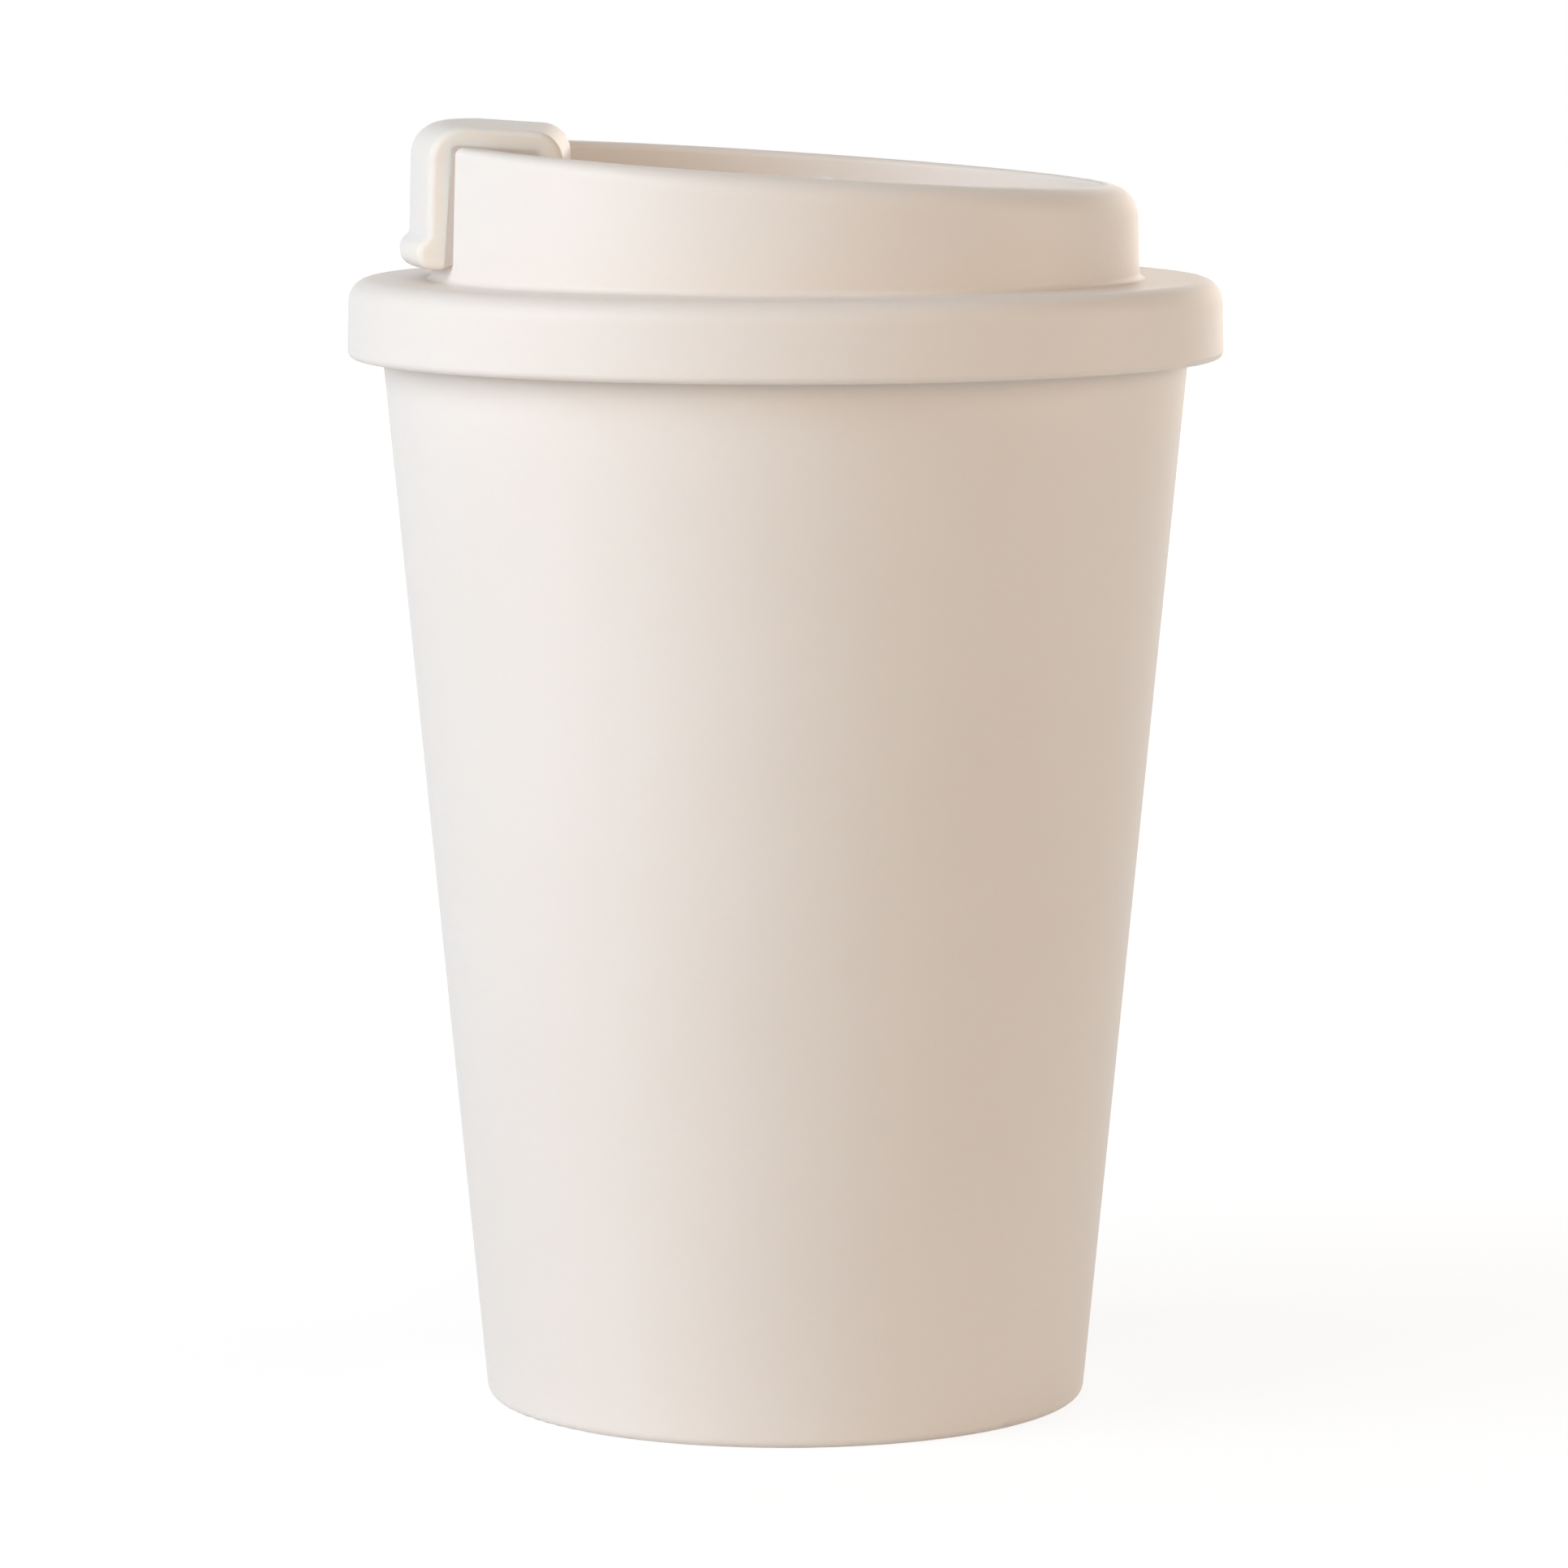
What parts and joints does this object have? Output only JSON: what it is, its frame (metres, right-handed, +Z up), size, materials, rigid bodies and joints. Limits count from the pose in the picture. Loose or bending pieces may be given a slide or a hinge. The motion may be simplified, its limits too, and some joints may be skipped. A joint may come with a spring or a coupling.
{
  "type": "double-walled drinking mug with lid",
  "caption": "Double-walled drinking mug with a screw-in lid, a slanted drinking ring and a hinged flip cap that plugs the drinking slot.",
  "frame": {"origin": "middle of the foot, on the surface that the mug stands on", "axes": "+Z up along the mug's axis; -X towards the drinking side, where the flip cap hooks over the rim"},
  "size_m": [0.0944, 0.0944, 0.1386],
  "materials": {
    "shell_plastic": "cream polypropylene, satin, smooth",
    "liner_plastic": "cream polypropylene, satin, smooth",
    "lid_plastic": "cream polypropylene, satin, smooth",
    "cap_plastic": "cream polypropylene, satin, smooth",
    "silicone": "pale silicone rubber, matte"
  },
  "bodies": {
    "cup": {"outer_shell": "shell_plastic", "inner_cup": "liner_plastic"},
    "gasket_ring": {"lid_gasket": "silicone"},
    "lid_body": {"lid": "lid_plastic"},
    "cap_body": {"flip_cap": "cap_plastic", "spout_plug": "silicone"}
  },
  "joints": [
    {"name": "lid_lift", "type": "slide", "parent": "cup", "child": "gasket_ring", "axis": [0, 0, 1], "range_m": [0, 0.01]},
    {"name": "lid_turn", "type": "hinge", "parent": "gasket_ring", "child": "lid_body", "pos_m": [0, 0, 0.1197], "axis": [0, 0, 1], "range_deg": [0, 400]},
    {"name": "flip_cap_hinge", "type": "hinge", "parent": "lid_body", "child": "cap_body", "pos_m": [0.004, 0, 0.1298], "axis": [0, 1, 0], "range_deg": [0, 155]}
  ],
  "couplings": [
    {"joint": "lid_lift", "follows": "lid_turn", "m_per_rad": 0.0014323}
  ]
}
